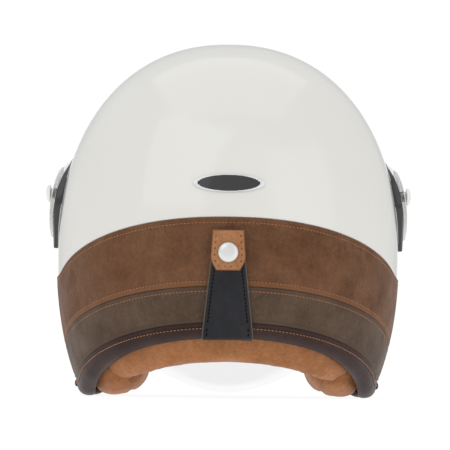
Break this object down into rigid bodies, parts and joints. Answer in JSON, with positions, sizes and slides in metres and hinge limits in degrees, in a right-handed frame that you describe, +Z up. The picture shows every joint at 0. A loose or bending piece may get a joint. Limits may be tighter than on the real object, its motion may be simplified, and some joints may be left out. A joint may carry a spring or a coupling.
{
  "type": "open face motorcycle helmet",
  "caption": "Open face motorcycle helmet: hard shell with foam and padded liner, leather band, hinged clear shield, snap-down rear strap and stowed chin strap with ratchet buckle.",
  "frame": {"origin": "on the floor plane that the lower edge rests on, under the middle of the helmet's overall box", "axes": "+Z up through the crown, +Y forward to the shield, +X to the wearer's right"},
  "size_m": [0.2736, 0.3041, 0.261],
  "materials": {
    "shell_gloss": "gloss",
    "upper_leather": "satin",
    "middle_leather": "satin",
    "dark_trim": "satin",
    "liner_foam": "matte",
    "crown_fabric": "matte",
    "tan_leather": "satin",
    "black_plastic": "satin",
    "black_rubber": "matte",
    "steel": "satin",
    "satin_silver": "satin",
    "badge_metal": "satin",
    "black_steel": "satin",
    "black_strap": "matte",
    "webbing": "matte",
    "clear_shield": "polished",
    "cover_gloss": "gloss",
    "red_tab": "satin"
  },
  "bodies": {
    "helmet": {"outer_shell": "shell_gloss", "upper_leather_band": "upper_leather", "middle_leather_band": "middle_leather", "lower_edge_trim": "dark_trim", "face_edge_trim": "dark_trim", "impact_liner": "liner_foam", "crown_pad": "crown_fabric", "temple_band": "crown_fabric", "neck_roll": "tan_leather", "cheek_pad_left": "tan_leather", "cheek_pad_right": "tan_leather", "pivot_bezel_left": "black_plastic", "pivot_bezel_right": "black_plastic", "pivot_base_left": "black_plastic", "pivot_base_right": "black_plastic", "friction_washer_left": "black_rubber", "friction_washer_right": "black_rubber", "pivot_screw_left": "steel", "pivot_screw_right": "steel", "pivot_knob_left": "satin_silver", "pivot_knob_right": "satin_silver", "pivot_nut_left": "steel", "pivot_nut_right": "steel", "rear_badge": "badge_metal", "snap_stud": "satin_silver", "strap_root": "black_strap", "strap_rivet_left": "black_steel", "strap_rivet_right": "black_steel", "anchor_plate_left": "steel", "anchor_plate_right": "steel", "chin_strap_left": "webbing", "chin_strap_right": "webbing", "buckle_frame": "steel", "buckle_pin": "steel", "toothed_tongue": "black_plastic", "tongue_rivet": "steel"},
    "shield": {"clear_shield": "clear_shield", "side_cover_left": "cover_gloss", "side_cover_right": "cover_gloss"},
    "strap_flap": {"goggle_strap": "black_strap", "strap_tip": "tan_leather", "snap_cap": "satin_silver", "snap_socket": "steel"},
    "lever": {"buckle_lever": "steel", "release_tab": "red_tab"}
  },
  "joints": [
    {"name": "shield_hinge", "type": "hinge", "parent": "helmet", "child": "shield", "pos_m": [0, 0.0094, 0.1503], "axis": [1, 0, 0], "range_deg": [0, 65]},
    {"name": "strap_flap_hinge", "type": "hinge", "parent": "helmet", "child": "strap_flap", "pos_m": [0, -0.1368, 0.0495], "axis": [1, 0, 0], "range_deg": [0, 100]},
    {"name": "buckle_lever_hinge", "type": "hinge", "parent": "helmet", "child": "lever", "pos_m": [-0.0504, 0.0074, 0.0655], "axis": [0, -1, 0], "range_deg": [0, 25], "stiffness_Nm_per_rad": 0.05, "springref_deg": -11.46}
  ]
}
